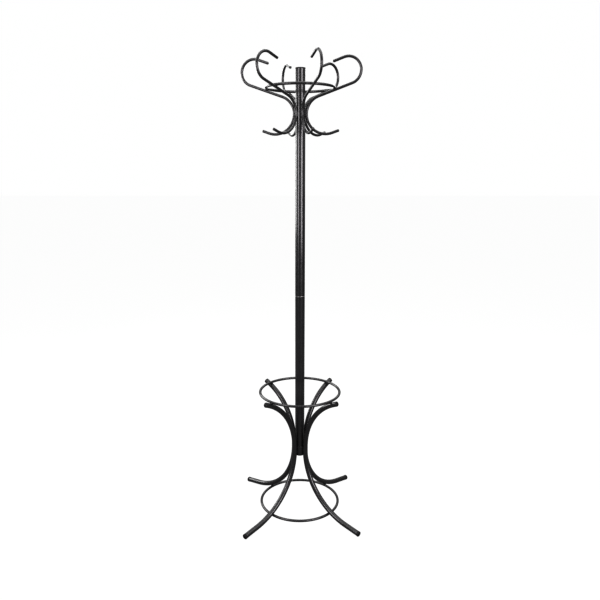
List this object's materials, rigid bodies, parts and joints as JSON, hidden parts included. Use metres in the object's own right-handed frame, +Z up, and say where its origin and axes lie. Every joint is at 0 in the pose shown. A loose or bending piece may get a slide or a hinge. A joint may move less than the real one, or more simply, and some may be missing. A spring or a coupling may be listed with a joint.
{
  "type": "standing coat rack",
  "caption": "Free-standing coat rack in bent black steel: round pole, crown of looped hat hooks with small coat hooks below, curved tube legs and rings that hold umbrellas.",
  "frame": {"origin": "on the floor, under the middle of the pole, at the centre of the four feet", "axes": "+Z up along the pole, -Y towards the front of the rack, +X to the right as seen from the front; the legs lie at 45 degrees to X and Y"},
  "size_m": [0.474, 0.474, 1.8597],
  "materials": {
    "powder_coat": "semi-gloss black powder coat with a fine orange peel",
    "cap_plastic": "satin black moulded plastic",
    "foot_plastic": "matt black moulded plastic",
    "black_screws": "black coated screw",
    "zinc_steel": "bright zinc-plated steel, hidden inside the pole"
  },
  "bodies": {
    "root": {"pole_lower_tube": "powder_coat", "pole_upper_tube": "powder_coat", "leg_hub": "powder_coat", "hook_rod_1": "powder_coat", "hook_rod_2": "powder_coat", "hook_rod_3": "powder_coat", "hook_rod_4": "powder_coat", "hook_rod_5": "powder_coat", "hook_rod_6": "powder_coat", "hat_ring": "powder_coat", "umbrella_ring": "powder_coat", "base_ring": "powder_coat", "leg_front_right": "powder_coat", "leg_rear_right": "powder_coat", "leg_rear_left": "powder_coat", "leg_front_left": "powder_coat", "pole_top_cap": "cap_plastic", "pole_bottom_cap": "cap_plastic", "leg_plug_front_right": "cap_plastic", "leg_plug_rear_right": "cap_plastic", "leg_plug_rear_left": "cap_plastic", "leg_plug_front_left": "cap_plastic", "foot_front_right": "foot_plastic", "foot_rear_right": "foot_plastic", "foot_rear_left": "foot_plastic", "foot_front_left": "foot_plastic", "leg_hub_bolt": "black_screws", "leg_hub_nut": "black_screws", "joint_plug_lower": "zinc_steel", "joint_plug_upper": "zinc_steel", "joint_stud": "zinc_steel"}
  },
  "joints": []
}
